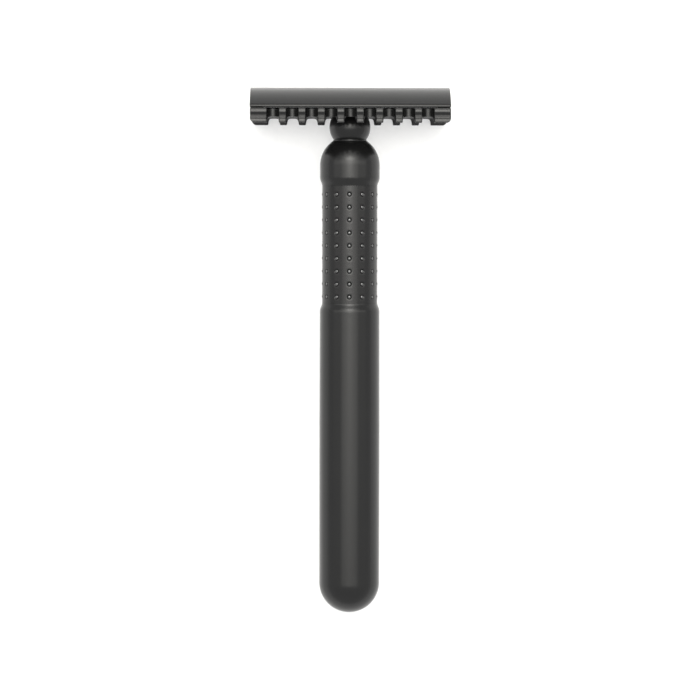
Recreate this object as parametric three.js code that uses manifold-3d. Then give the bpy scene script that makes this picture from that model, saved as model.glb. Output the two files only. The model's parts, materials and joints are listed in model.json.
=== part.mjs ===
// Three-piece double-edge safety razor with an open comb.
// Each piece is drawn in the razor's own frame: Z runs up the handle from the domed
// end to the head, X runs along the head, and Y runs from one comb to the other.
// The whole razor is then laid down on its comb and its domed end.
import * as THREE from 'three';
import { mergeVertices } from 'three/addons/utils/BufferGeometryUtils.js';
import Module from 'manifold-3d';

const wasm = await Module();
wasm.setup();

// Head
const HEAD_LENGTH = 43.0;
const CAP_LENGTH = 43.2;
const RIDGE_Z = 114.3;
const CAP_HALF_WIDTH = 10.5;
const CAP_LIP_INSET = 0.06;
const CAP_LIP_TOP_Z = 110.3;
const CAP_LIP_FACE_TOP_Z = 110.14;
const CAP_LIP_FACE_BOTTOM_Z = 109.9;

// Blade: the middle of its thickness follows one arc when it is clamped
const BLADE_RADIUS = 26.0;
const BLADE_CROWN_Z = 111.9;
const BLADE_CENTRE_Z = BLADE_CROWN_Z - BLADE_RADIUS;
const BLADE_HALF_ARC = 11.0;
const BLADE_THICKNESS = 0.1;
const BLADE_LENGTH = 42.7;
const BLADE_EDGE_LENGTH = 37.4;
const BLADE_TAB_HALF_WIDTH = 6.6;
const BLADE_BEVEL = 0.7;
const BLADE_SLOT_HALF_WIDTH = 1.1;
const BLADE_SLOT_HALF_LENGTH = 17.2;
const BLADE_CENTRE_HOLE = 3.1;
const BLADE_PIN_HOLE = 1.75;
const CLAMP_GAP = 0.03;

// Comb
const GROOVE_COUNT = 9;
const GROOVE_PITCH = 4.156;
const GROOVE_RADIUS = 1.2875;
const GROOVE_CENTRE_Y = 11.19;
const COMB_HALF_WIDTH = 12.3;
const BED_HALF_WIDTH = 9.3;
const PLATE_UNDERSIDE_Z = 107.9;
const PLATE_FLAT_HALF_WIDTH = 8.0;
const PLATE_CORNER_RADIUS = 1.0;
const COMB_BOTTOM_Z = 106.4;
const BEAD_RADIUS = 1.5;
const UPPER_BEAD_Z = 108.77;
const LOWER_BEAD_Z = 106.72;
const RECESS_HALF_WIDTH = 12.1;

// Locating pins and threaded stud
const PIN_OFFSET = 10.0;
const PIN_RADIUS = 1.4;
const PIN_TIP_Z = 108.4;
const STUD_TIP_Z = 96.8;
const STUD_THREAD_TOP_Z = 108.7;
const CAP_SOCKET_Z = 113.15;
const RUNNING_GAP = 0.15;
const PRESS_GAP = 0.05;

// M5 x 0.8 thread
const THREAD_PITCH = 0.8;
const THREAD_MINOR = 2.02;
const THREAD_MAJOR = 2.46;
const THREAD_ROOT_FLAT = 0.2;
const THREAD_CREST_FLAT = 0.092;
const THREAD_CLEARANCE = 0.12;
const THREAD_SEGMENTS = 16;

// Handle
const NECK_RADIUS = 4.45;
const NECK_CENTRE_Z = 105.7;
const NECK_BOTTOM_Z = 103.05;
const SPIGOT_RADIUS = 3.35;
const SPIGOT_BOTTOM_Z = 102.4;
const NECK_TOP_Z = 107.85;
const HANDLE_BORE = 3.15;
const INSERT_RADIUS = 3.1;
const INSERT_BOTTOM_Z = 95.5;
const INSERT_TOP_Z = 107.5;
const SHOULDER_RADIUS = 6.48;
const SHOULDER_CENTRE_Z = 97.4;
const SHOULDER_STRAIGHT_Z = 94.95;
const SHOULDER_BOTTOM_Z = 92.97;
const SHOULDER_LIP_RADIUS = 3.65;
const SHOULDER_LIP_Z = 103.0;
const STEP_RADIUS = 6.01;
const GRIP_RADIUS = 6.0;
const GRIP_BOTTOM_Z = 67.52;
const GRIP_TOP_Z = 92.95;
const DOT_ROWS = 9;
const DOT_COLUMNS = 13;
const DOT_TOP_ROW_Z = 91.13;
const DOT_ROW_PITCH = 2.776;
const DOT_PHASE = THREE.MathUtils.degToRad(-1.3);
const DOT_TOP_RADIUS = 0.2;
const DOT_HEIGHT = 0.1;
const DOT_ROOT_RADIUS = 0.62;
const DOT_ROOT = 0.3;
const DOT_GROOVE_DEPTH = 0.11;
const DOT_GROOVE_INNER = 0.4;
const DOT_GROOVE_OUTER = 0.6;
const DOT_GROOVE_CUT = 0.05;
const DOT_SEGMENTS = 6;
const DOME_RADIUS = 6.52;
const DOME_CENTRE_Z = 6.4;
const BARREL_MIDDLE_RADIUS = 6.54;
const BARREL_MIDDLE_Z = 40;
const BARREL_TOP_RADIUS = 6.48;
const BARREL_ROUNDING_Z = 65.5;
const BARREL_TOP_Z = 67.5;
const ROD_RADIUS = 3.0;
const ROD_BOTTOM_Z = 44.1;
const ROD_TOP_Z = 95.2;
const ROD_CHAMFER = 0.4;

const LATHE_SEGMENTS = 39;
const BAR_SEGMENTS = 24;
const ARC_SEGMENTS = 16;

// Height of a point at half width y on an arc whose axis runs along X.
function arcHeight(centreZ, radius, y) {
  return centreZ + Math.sqrt(radius * radius - y * y);
}

// Points along such an arc, from half width yStart to half width yEnd.
function arcPoints(centreZ, radius, yStart, yEnd, steps = ARC_SEGMENTS) {
  const points = [];
  for (let i = 0; i <= steps; i += 1) {
    const y = yStart + ((yEnd - yStart) * i) / steps;
    points.push([y, arcHeight(centreZ, radius, y)]);
  }
  return points;
}

// Points [r, z] round a circle centred on [r0, z0], between two angles from the +r direction.
function roundPoints(r0, z0, radius, startDeg, endDeg, steps) {
  const points = [];
  for (let i = 0; i <= steps; i += 1) {
    const angle = THREE.MathUtils.degToRad(startDeg + ((endDeg - startDeg) * i) / steps);
    points.push([r0 + radius * Math.cos(angle), z0 + radius * Math.sin(angle)]);
  }
  return points;
}

// A three.js geometry as a solid that can be joined and cut.
function solid(geometry) {
  const bare = geometry.clone();
  bare.deleteAttribute('normal');
  bare.deleteAttribute('uv');
  const merged = mergeVertices(bare, 1e-4);
  const mesh = new wasm.Mesh({
    numProp: 3,
    vertProperties: new Float32Array(merged.attributes.position.array),
    triVerts: new Uint32Array(merged.index.array),
  });
  return new wasm.Manifold(mesh);
}

// A joined or cut solid as three.js geometry again.
function toGeometry(body) {
  const mesh = body.getMesh();
  const geometry = new THREE.BufferGeometry();
  geometry.setAttribute('position', new THREE.BufferAttribute(mesh.vertProperties, 3));
  geometry.setIndex(new THREE.BufferAttribute(mesh.triVerts, 1));
  return geometry;
}

// A closed profile of [r, z] points turned about the handle's axis.
function turned(profile, segments = LATHE_SEGMENTS) {
  const points = profile.map(([r, z]) => new THREE.Vector2(Math.max(r, 0), z));
  const closed = profile[0][0] > 0 ? [...points, points[0].clone()] : points;
  const geometry = new THREE.LatheGeometry(closed, segments);
  geometry.rotateX(Math.PI / 2);
  return solid(geometry);
}

// A closed outline of [y, z] points drawn out along X, centred on the handle's axis.
function drawnAlongX(outline, length) {
  const shape = new THREE.Shape(outline.map(([y, z]) => new THREE.Vector2(y, z)));
  const geometry = new THREE.ExtrudeGeometry(shape, { depth: length, bevelEnabled: false });
  const yAxis = new THREE.Vector3(0, 1, 0);
  const zAxis = new THREE.Vector3(0, 0, 1);
  const xAxis = new THREE.Vector3(1, 0, 0);
  geometry.applyMatrix4(new THREE.Matrix4().makeBasis(yAxis, zAxis, xAxis));
  geometry.translate(-length / 2, 0, 0);
  return solid(geometry);
}

// A flat shape in X and Y drawn up along Z.
function drawnUp(shape, zLow, zHigh, curveSegments = 8) {
  const geometry = new THREE.ExtrudeGeometry(shape, {
    depth: zHigh - zLow,
    bevelEnabled: false,
    curveSegments,
  });
  geometry.translate(0, 0, zLow);
  return solid(geometry);
}

function roundBar(x, y, radius, zLow, zHigh) {
  const geometry = new THREE.CylinderGeometry(radius, radius, zHigh - zLow, BAR_SEGMENTS);
  geometry.rotateX(Math.PI / 2);
  geometry.translate(x, y, (zLow + zHigh) / 2);
  return solid(geometry);
}

// A right-hand screw thread along Z whose lowest turn starts at zStart. The surface is a
// grid of four profile points for each step round the helix, and a fan closes each end.
function threadBody(zStart, turns, minor, major) {
  const flank = (THREAD_PITCH - THREAD_ROOT_FLAT - THREAD_CREST_FLAT) / 2;
  const profile = [
    [minor, 0],
    [minor, THREAD_ROOT_FLAT],
    [major, THREAD_ROOT_FLAT + flank],
    [major, THREAD_ROOT_FLAT + flank + THREAD_CREST_FLAT],
  ];
  const width = profile.length;
  const steps = turns * THREAD_SEGMENTS;
  const positions = [];
  for (let k = 0; k <= steps + THREAD_SEGMENTS; k += 1) {
    const angle = (2 * Math.PI * k) / THREAD_SEGMENTS;
    const rise = zStart + (THREAD_PITCH * k) / THREAD_SEGMENTS;
    for (const [r, dz] of profile) {
      positions.push(r * Math.cos(angle), r * Math.sin(angle), rise + dz);
    }
  }
  const at = (k, m) => (m < width ? k * width + m : (k + THREAD_SEGMENTS) * width);
  const low = positions.length / 3;
  positions.push(0, 0, zStart);
  const high = low + 1;
  positions.push(0, 0, zStart + THREAD_PITCH * (turns + 1));
  const index = [];
  for (let k = 0; k < steps; k += 1) {
    for (let m = 0; m < width; m += 1) {
      index.push(at(k, m), at(k + 1, m), at(k + 1, m + 1));
      index.push(at(k, m), at(k + 1, m + 1), at(k, m + 1));
    }
  }
  for (let k = 0; k < THREAD_SEGMENTS; k += 1) {
    index.push(low, at(k + 1, 0), at(k, 0));
    index.push(high, at(steps + k, 0), at(steps + k + 1, 0));
  }
  for (let m = 0; m < width; m += 1) {
    index.push(low, at(0, m), at(0, m + 1));
    index.push(high, at(steps, m + 1), at(steps, m));
  }
  const geometry = new THREE.BufferGeometry();
  geometry.setAttribute('position', new THREE.Float32BufferAttribute(positions, 3));
  geometry.setIndex(index);
  return solid(geometry.toNonIndexed());
}

function topCap() {
  const undersideRadius = BLADE_RADIUS + BLADE_THICKNESS / 2 + CLAMP_GAP;
  const lipY = CAP_HALF_WIDTH - CAP_LIP_INSET;
  const rise = RIDGE_Z - CAP_LIP_TOP_Z;
  const topRadius = (lipY * lipY + rise * rise) / (2 * rise);
  const outline = [
    ...arcPoints(RIDGE_Z - topRadius, topRadius, -lipY, lipY, 28),
    [CAP_HALF_WIDTH, CAP_LIP_FACE_TOP_Z],
    [CAP_HALF_WIDTH, CAP_LIP_FACE_BOTTOM_Z],
    ...arcPoints(BLADE_CENTRE_Z, undersideRadius, lipY, -lipY),
    [-CAP_HALF_WIDTH, CAP_LIP_FACE_BOTTOM_Z],
    [-CAP_HALF_WIDTH, CAP_LIP_FACE_TOP_Z],
  ];
  let cap = drawnAlongX(outline, CAP_LENGTH);
  const socketBottom = BLADE_CROWN_Z - 2;
  cap = cap.subtract(roundBar(0, 0, THREAD_MAJOR + PRESS_GAP, socketBottom, CAP_SOCKET_Z));
  for (const side of [-1, 1]) {
    const socket = roundBar(side * PIN_OFFSET, 0, PIN_RADIUS + PRESS_GAP, socketBottom, CAP_SOCKET_Z);
    cap = cap.subtract(socket);
  }
  return cap;
}

function threadedStud() {
  const turns = Math.ceil((STUD_THREAD_TOP_Z - STUD_TIP_Z) / THREAD_PITCH) + 2;
  const thread = threadBody(threadStartBelow(STUD_TIP_Z), turns, THREAD_MINOR, THREAD_MAJOR);
  const envelope = turned([
    [0, STUD_TIP_Z],
    [THREAD_MINOR - 0.1, STUD_TIP_Z],
    [THREAD_MAJOR + 0.1, STUD_TIP_Z + 0.65],
    [THREAD_MAJOR + 0.1, STUD_THREAD_TOP_Z],
    [0, STUD_THREAD_TOP_Z],
  ], BAR_SEGMENTS);
  const shank = turned([
    [0, STUD_THREAD_TOP_Z - 0.5],
    [THREAD_MINOR, STUD_THREAD_TOP_Z - 0.5],
    [THREAD_MAJOR, STUD_THREAD_TOP_Z - 0.1],
    [THREAD_MAJOR, CAP_SOCKET_Z - PRESS_GAP],
    [0, CAP_SOCKET_Z - PRESS_GAP],
  ], BAR_SEGMENTS);
  return thread.intersect(envelope).add(shank);
}

// The stud and the insert share one helix, so their threads start whole pitches apart.
function threadStartBelow(z) {
  const pitches = Math.floor(z / THREAD_PITCH) - 2;
  return pitches * THREAD_PITCH;
}

function locatingPin(side) {
  const x = side * PIN_OFFSET;
  const pin = turned([
    [0, PIN_TIP_Z],
    [PIN_RADIUS - 0.45, PIN_TIP_Z],
    [PIN_RADIUS - 0.15, PIN_TIP_Z + 0.2],
    [PIN_RADIUS, PIN_TIP_Z + 0.6],
    [PIN_RADIUS, CAP_SOCKET_Z - PRESS_GAP],
    [0, CAP_SOCKET_Z - PRESS_GAP],
  ], BAR_SEGMENTS);
  return pin.translate([x, 0, 0]);
}

function razorBlade() {
  const half = BLADE_THICKNESS / 2;
  const bevelStart = (BLADE_HALF_ARC - BLADE_BEVEL) / BLADE_RADIUS;
  const tipAngle = BLADE_HALF_ARC / BLADE_RADIUS;
  const onArc = (radius, angle) => [
    radius * Math.sin(angle),
    BLADE_CENTRE_Z + radius * Math.cos(angle),
  ];
  const upper = [];
  const lower = [];
  for (let i = 0; i <= ARC_SEGMENTS; i += 1) {
    const angle = -bevelStart + (2 * bevelStart * i) / ARC_SEGMENTS;
    upper.push(onArc(BLADE_RADIUS + half, angle));
    lower.push(onArc(BLADE_RADIUS - half, angle));
  }
  const tip = 0.01;
  const outline = [
    onArc(BLADE_RADIUS - tip, -tipAngle),
    onArc(BLADE_RADIUS + tip, -tipAngle),
    ...upper,
    onArc(BLADE_RADIUS + tip, tipAngle),
    onArc(BLADE_RADIUS - tip, tipAngle),
    ...lower.reverse(),
  ];
  let blade = drawnAlongX(outline, BLADE_LENGTH);
  const zLow = BLADE_CENTRE_Z;
  const zHigh = BLADE_CROWN_Z + 5;
  const slot = new THREE.Shape();
  slot.moveTo(-BLADE_SLOT_HALF_LENGTH, -BLADE_SLOT_HALF_WIDTH);
  slot.lineTo(BLADE_SLOT_HALF_LENGTH, -BLADE_SLOT_HALF_WIDTH);
  slot.absarc(BLADE_SLOT_HALF_LENGTH, 0, BLADE_SLOT_HALF_WIDTH, -Math.PI / 2, Math.PI / 2);
  slot.lineTo(-BLADE_SLOT_HALF_LENGTH, BLADE_SLOT_HALF_WIDTH);
  slot.absarc(-BLADE_SLOT_HALF_LENGTH, 0, BLADE_SLOT_HALF_WIDTH, Math.PI / 2, (3 * Math.PI) / 2);
  blade = blade.subtract(drawnUp(slot, zLow, zHigh));
  blade = blade.subtract(roundBar(0, 0, BLADE_CENTRE_HOLE, zLow, zHigh));
  for (const side of [-1, 1]) {
    blade = blade.subtract(roundBar(side * PIN_OFFSET, 0, BLADE_PIN_HOLE, zLow, zHigh));
    for (const edge of [-1, 1]) {
      blade = blade.subtract(bladeCorner(side, edge, zLow, zHigh));
    }
  }
  return blade;
}

// The notch that leaves a narrow tab at each end of the blade.
function bladeCorner(side, edge, zLow, zHigh) {
  const xInner = BLADE_EDGE_LENGTH / 2;
  const xOuter = BLADE_LENGTH / 2 + 1;
  const notch = new THREE.BoxGeometry(
    xOuter - xInner,
    BLADE_HALF_ARC + 1 - BLADE_TAB_HALF_WIDTH,
    zHigh - zLow,
  );
  notch.translate(
    (side * (xInner + xOuter)) / 2,
    (edge * (BLADE_HALF_ARC + 1 + BLADE_TAB_HALF_WIDTH)) / 2,
    (zLow + zHigh) / 2,
  );
  return solid(notch);
}

// One of the two rounded ribs that run along the comb's outer face.
function combBead(centreZ, startDeg, endDeg) {
  return roundPoints(COMB_HALF_WIDTH - BEAD_RADIUS, centreZ, BEAD_RADIUS, startDeg, endDeg, 4);
}

// One half of the comb's cross-section, from the crown of the bed out to the tooth tip
// and back under to the middle of the flat underside.
function combHalfSection() {
  const bedRadius = BLADE_RADIUS - BLADE_THICKNESS / 2 - CLAMP_GAP;
  return [
    ...arcPoints(BLADE_CENTRE_Z, bedRadius, 0, BED_HALF_WIDTH, 12),
    [9.62, 109.66],
    [10.1, 109.32],
    [10.7, 109.27],
    [11.2, 109.54],
    [11.9, 109.59],
    ...combBead(UPPER_BEAD_Z, 31, -5.5),
    [RECESS_HALF_WIDTH, 108.17],
    [RECESS_HALF_WIDTH - 0.02, 107.56],
    ...combBead(LOWER_BEAD_Z, 31, -10),
    [12.12, COMB_BOTTOM_Z],
    [11.36, COMB_BOTTOM_Z],
    [11.15, 106.48],
    [10.3, 107.74],
    [PLATE_FLAT_HALF_WIDTH, PLATE_UNDERSIDE_Z],
  ];
}

function basePlate() {
  const half = combHalfSection();
  const mirrored = half.slice(1).reverse().map(([y, z]) => [-y, z]);
  let plate = drawnAlongX([...half, ...mirrored], HEAD_LENGTH).intersect(plateSide());
  const zLow = PLATE_UNDERSIDE_Z - 3;
  const zHigh = BLADE_CROWN_Z + 1;
  for (let i = 0; i < GROOVE_COUNT; i += 1) {
    const x = (i - (GROOVE_COUNT - 1) / 2) * GROOVE_PITCH;
    for (const edge of [-1, 1]) {
      plate = plate.subtract(combGroove(x, edge, zLow, zHigh));
    }
  }
  plate = plate.subtract(roundBar(0, 0, THREAD_MAJOR + 2 * RUNNING_GAP, zLow, zHigh));
  for (const side of [-1, 1]) {
    const hole = roundBar(side * PIN_OFFSET, 0, PIN_RADIUS + RUNNING_GAP, zLow, zHigh);
    plate = plate.subtract(hole);
  }
  return plate;
}

// The plate seen from the comb: square above, with its two lower corners well rounded.
function plateSide() {
  const half = HEAD_LENGTH / 2;
  const radius = PLATE_CORNER_RADIUS;
  const shape = new THREE.Shape();
  shape.moveTo(half + 1, BLADE_CROWN_Z + 1);
  shape.lineTo(-half - 1, BLADE_CROWN_Z + 1);
  shape.lineTo(-half - 1, COMB_BOTTOM_Z + radius);
  shape.lineTo(-half, COMB_BOTTOM_Z + radius);
  shape.absarc(-half + radius, COMB_BOTTOM_Z + radius, radius, Math.PI, 1.5 * Math.PI);
  shape.absarc(half - radius, COMB_BOTTOM_Z + radius, radius, 1.5 * Math.PI, 2 * Math.PI);
  shape.lineTo(half + 1, COMB_BOTTOM_Z + radius);
  const depth = 2 * COMB_HALF_WIDTH + 2;
  const geometry = new THREE.ExtrudeGeometry(shape, {
    depth,
    bevelEnabled: false,
    curveSegments: 6,
  });
  geometry.rotateX(Math.PI / 2);
  geometry.translate(0, depth / 2, 0);
  return solid(geometry);
}

// One half-round groove between two teeth, open at the comb's outer edge.
function combGroove(x, edge, zLow, zHigh) {
  const outer = COMB_HALF_WIDTH + 1;
  const shape = new THREE.Shape();
  shape.moveTo(GROOVE_RADIUS, outer);
  shape.lineTo(-GROOVE_RADIUS, outer);
  shape.lineTo(-GROOVE_RADIUS, GROOVE_CENTRE_Y);
  shape.absarc(0, GROOVE_CENTRE_Y, GROOVE_RADIUS, Math.PI, 2 * Math.PI);
  const groove = drawnUp(shape, zLow, zHigh, 10);
  const turn = edge < 0 ? 180 : 0;
  return groove.rotate([0, 0, turn]).translate([x, 0, 0]);
}

function neckCollar() {
  const low = Math.asin((NECK_BOTTOM_Z - NECK_CENTRE_Z) / NECK_RADIUS);
  const high = Math.asin((NECK_TOP_Z - NECK_CENTRE_Z) / NECK_RADIUS);
  const start = THREE.MathUtils.radToDeg(low);
  const end = THREE.MathUtils.radToDeg(high);
  return turned([
    [HANDLE_BORE, SPIGOT_BOTTOM_Z],
    [SPIGOT_RADIUS, SPIGOT_BOTTOM_Z],
    [SPIGOT_RADIUS, NECK_BOTTOM_Z],
    ...roundPoints(0, NECK_CENTRE_Z, NECK_RADIUS, start, end, 8),
    [HANDLE_BORE, NECK_TOP_Z],
  ]);
}

function threadInsert() {
  const chamfer = 0.45;
  const blank = turned([
    [0, INSERT_BOTTOM_Z],
    [INSERT_RADIUS - 0.15, INSERT_BOTTOM_Z],
    [INSERT_RADIUS, INSERT_BOTTOM_Z + 0.2],
    [INSERT_RADIUS, INSERT_TOP_Z],
    [0, INSERT_TOP_Z],
  ], BAR_SEGMENTS);
  const turns = Math.ceil((INSERT_TOP_Z - INSERT_BOTTOM_Z) / THREAD_PITCH) + 4;
  const start = threadStartBelow(INSERT_BOTTOM_Z - 1);
  const minor = THREAD_MINOR + THREAD_CLEARANCE;
  const major = THREAD_MAJOR + THREAD_CLEARANCE;
  const lead = turned([
    [0, INSERT_TOP_Z - chamfer],
    [minor, INSERT_TOP_Z - chamfer],
    [major + 0.1, INSERT_TOP_Z + 0.05],
    [0, INSERT_TOP_Z + 0.05],
  ], BAR_SEGMENTS);
  return blank.subtract(threadBody(start, turns, minor, major)).subtract(lead);
}

// Points of the soft step where a full-width part drops to the slim grip: a wide
// rounding that ends in a small hollow fillet.
function softStep(radius, fullZ, slimZ, steps) {
  const points = [];
  for (let i = 1; i <= steps; i += 1) {
    const t = Math.pow(i / steps, 1.25);
    const blend = t * t * (3 - 2 * t);
    const z = fullZ + ((slimZ - fullZ) * i) / steps;
    points.push([radius - (radius - STEP_RADIUS) * blend, z]);
  }
  return points;
}

function shoulder() {
  const lipRise = Math.sqrt(SHOULDER_RADIUS ** 2 - SHOULDER_LIP_RADIUS ** 2);
  const top = THREE.MathUtils.radToDeg(Math.atan2(lipRise, SHOULDER_LIP_RADIUS));
  const underside = softStep(SHOULDER_RADIUS, SHOULDER_STRAIGHT_Z, SHOULDER_BOTTOM_Z, 6);
  const seat = SPIGOT_RADIUS + PRESS_GAP;
  return turned([
    [HANDLE_BORE, SHOULDER_BOTTOM_Z],
    ...underside.reverse(),
    [SHOULDER_RADIUS, SHOULDER_STRAIGHT_Z],
    ...roundPoints(0, SHOULDER_CENTRE_Z, SHOULDER_RADIUS, 0, top, 10),
    [SHOULDER_LIP_RADIUS, SHOULDER_LIP_Z],
    [seat, SHOULDER_LIP_Z],
    [seat, SPIGOT_BOTTOM_Z - PRESS_GAP],
    [HANDLE_BORE, SPIGOT_BOTTOM_Z - PRESS_GAP],
  ]);
}

// A cone frustum on the grip's surface, between two heights over it.
function frustum(row, column, lowRadius, highRadius, low, high) {
  const geometry = new THREE.CylinderGeometry(highRadius, lowRadius, high - low, DOT_SEGMENTS);
  geometry.rotateZ(-Math.PI / 2);
  geometry.translate(GRIP_RADIUS + (low + high) / 2, 0, 0);
  geometry.rotateZ(-Math.PI / 2 + DOT_PHASE + (2 * Math.PI * column) / DOT_COLUMNS);
  geometry.translate(0, 0, DOT_TOP_ROW_Z - row * DOT_ROW_PITCH);
  return solid(geometry);
}

// Each dot stands in a ring groove of its own, with its top just over the sleeve.
function gripSleeve() {
  let sleeve = turned([
    [HANDLE_BORE, GRIP_BOTTOM_Z],
    [GRIP_RADIUS, GRIP_BOTTOM_Z],
    [GRIP_RADIUS, GRIP_TOP_Z],
    [HANDLE_BORE, GRIP_TOP_Z],
  ]);
  for (let row = 0; row < DOT_ROWS; row += 1) {
    for (let column = 0; column < DOT_COLUMNS; column += 1) {
      sleeve = sleeve
        .subtract(frustum(row, column, DOT_GROOVE_INNER, DOT_GROOVE_OUTER, -DOT_GROOVE_DEPTH, DOT_GROOVE_CUT))
        .add(frustum(row, column, DOT_ROOT_RADIUS, DOT_TOP_RADIUS, -DOT_ROOT, DOT_HEIGHT));
    }
  }
  return sleeve;
}

function barrel() {
  return turned([
    ...roundPoints(0, DOME_CENTRE_Z, DOME_RADIUS, -90, 0, 12),
    [BARREL_MIDDLE_RADIUS, BARREL_MIDDLE_Z],
    [BARREL_TOP_RADIUS, BARREL_ROUNDING_Z],
    ...softStep(BARREL_TOP_RADIUS, BARREL_ROUNDING_Z, BARREL_TOP_Z, 6),
    [HANDLE_BORE, BARREL_TOP_Z],
    [HANDLE_BORE, ROD_BOTTOM_Z - RUNNING_GAP],
    [0, ROD_BOTTOM_Z - RUNNING_GAP],
  ]);
}

function coreRod() {
  return turned([
    [0, ROD_BOTTOM_Z],
    [ROD_RADIUS - ROD_CHAMFER, ROD_BOTTOM_Z],
    [ROD_RADIUS, ROD_BOTTOM_Z + ROD_CHAMFER],
    [ROD_RADIUS, ROD_TOP_Z - ROD_CHAMFER],
    [ROD_RADIUS - ROD_CHAMFER, ROD_TOP_Z],
    [0, ROD_TOP_Z],
  ]);
}

const BLACK = { color: 0x1b1b1b, roughness: 0.5, metalness: 0.6 };
const STEEL = { color: 0xb9bbbd, roughness: 0.3, metalness: 1.0 };
const BRASS = { color: 0xb89552, roughness: 0.35, metalness: 1.0 };

const pieces = [
  ['top_cap', topCap(), BLACK],
  ['threaded_stud', threadedStud(), BLACK],
  ['locating_pin_left', locatingPin(-1), BLACK],
  ['locating_pin_right', locatingPin(1), BLACK],
  ['razor_blade', razorBlade(), STEEL],
  ['base_plate', basePlate(), BLACK],
  ['neck_collar', neckCollar(), BLACK],
  ['thread_insert', threadInsert(), BRASS],
  ['shoulder', shoulder(), BLACK],
  ['grip_sleeve', gripSleeve(), BLACK],
  ['barrel', barrel(), BLACK],
  ['core_rod', coreRod(), STEEL],
];

// Lay the razor down: the far comb's lower ribs and the dome touch the floor together.
const contactY = COMB_HALF_WIDTH;
const contactRise = LOWER_BEAD_Z - DOME_CENTRE_Z;
const reach = Math.hypot(contactRise, contactY);
const LEAN = Math.atan2(contactY, contactRise) - Math.asin(DOME_RADIUS / reach);
const lay = new THREE.Matrix4().makeRotationX(LEAN - Math.PI / 2);

const group = new THREE.Group();
group.name = 'safety_razor';
const bounds = new THREE.Box3();
for (const [name, body, look] of pieces) {
  const geometry = toGeometry(body).applyMatrix4(lay);
  geometry.computeBoundingBox();
  bounds.union(geometry.boundingBox);
  const mesh = new THREE.Mesh(geometry, new THREE.MeshStandardMaterial(look));
  mesh.name = name;
  group.add(mesh);
}

// Put the origin on the floor, under the middle of the razor.
const middle = bounds.getCenter(new THREE.Vector3());
for (const mesh of group.children) {
  mesh.geometry.translate(-middle.x, -middle.y, -bounds.min.z);
}

export default group;
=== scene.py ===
import json
import math

import bmesh
import bpy
from mathutils import Matrix, Vector


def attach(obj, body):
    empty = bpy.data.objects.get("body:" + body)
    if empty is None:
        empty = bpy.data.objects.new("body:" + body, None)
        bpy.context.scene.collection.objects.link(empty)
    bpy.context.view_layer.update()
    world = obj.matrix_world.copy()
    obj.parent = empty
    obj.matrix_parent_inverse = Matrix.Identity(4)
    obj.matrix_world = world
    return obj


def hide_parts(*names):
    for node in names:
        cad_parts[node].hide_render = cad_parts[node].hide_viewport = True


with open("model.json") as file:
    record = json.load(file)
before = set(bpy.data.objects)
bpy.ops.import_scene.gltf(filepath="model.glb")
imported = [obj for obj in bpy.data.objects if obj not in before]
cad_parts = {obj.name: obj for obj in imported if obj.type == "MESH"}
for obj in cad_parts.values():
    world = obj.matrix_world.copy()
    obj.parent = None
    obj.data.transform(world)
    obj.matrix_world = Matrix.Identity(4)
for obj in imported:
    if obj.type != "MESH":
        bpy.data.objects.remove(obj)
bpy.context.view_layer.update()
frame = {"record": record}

MM = 0.001

# ---------------------------------------------------------------- razor's own frame
# Z runs up the handle from the dome, X along the head, Y from comb to comb. All sizes are in mm.
HEAD_LENGTH = 43.0
CAP_LENGTH = 43.2
RIDGE_Z = 114.3
CAP_HALF_WIDTH = 10.5
CAP_LIP_INSET = 0.06
CAP_LIP_TOP_Z = 110.3
BLADE_RADIUS = 26.0
BLADE_CROWN_Z = 111.9
BLADE_CENTRE_Z = BLADE_CROWN_Z - BLADE_RADIUS
BLADE_HALF_ARC = 11.0
BLADE_THICKNESS = 0.1
BLADE_LENGTH = 42.7
BLADE_EDGE_LENGTH = 37.4
BLADE_TAB_HALF_WIDTH = 6.6
BLADE_BEVEL = 0.7
BLADE_SLOT_HALF_WIDTH = 1.1
BLADE_SLOT_HALF_LENGTH = 17.2
BLADE_CENTRE_HOLE = 3.1
BLADE_PIN_HOLE = 1.75
CLAMP_GAP = 0.03
GROOVE_COUNT = 9
GROOVE_PITCH = 4.156
GROOVE_RADIUS = 1.2875
GROOVE_CENTRE_Y = 11.19
COMB_HALF_WIDTH = 12.3
BED_HALF_WIDTH = 9.3
PLATE_UNDERSIDE_Z = 107.9
PLATE_FLAT_HALF_WIDTH = 8.0
PLATE_CORNER_RADIUS = 1.0
COMB_BOTTOM_Z = 106.4
BEAD_RADIUS = 1.5
UPPER_BEAD_Z = 108.77
LOWER_BEAD_Z = 106.72
PIN_OFFSET = 10.0
PIN_RADIUS = 1.4
PIN_TIP_Z = 108.4
STUD_TIP_Z = 96.8
STUD_THREAD_TOP_Z = 108.7
CAP_SOCKET_Z = 113.15
THREAD_PITCH = 0.8
THREAD_MINOR = 2.02
THREAD_MAJOR = 2.46
NECK_RADIUS = 4.45
NECK_CENTRE_Z = 105.7
NECK_BOTTOM_Z = 103.05
NECK_TOP_Z = 107.85
SPIGOT_RADIUS = 3.35
SPIGOT_BOTTOM_Z = 102.4
HANDLE_BORE = 3.15
SHOULDER_RADIUS = 6.48
SHOULDER_CENTRE_Z = 97.4
SHOULDER_STRAIGHT_Z = 94.95
SHOULDER_BOTTOM_Z = 92.97
SHOULDER_LIP_RADIUS = 3.65
SHOULDER_LIP_Z = 103.0
STEP_RADIUS = 6.01
GRIP_RADIUS = 6.0
GRIP_BOTTOM_Z = 67.52
GRIP_TOP_Z = 92.95
DOT_ROWS = 9
DOT_COLUMNS = 13
DOT_TOP_ROW_Z = 91.13
DOT_ROW_PITCH = 2.776
DOT_PHASE = math.radians(-1.3)
DOT_RADIUS = 0.42
DOT_HEIGHT = 0.1
DOT_GROOVE_DEPTH = 0.11
DOT_GROOVE_RADIUS = 0.54
DOME_RADIUS = 6.52
DOME_CENTRE_Z = 6.4
BARREL_MIDDLE_RADIUS = 6.54
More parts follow.
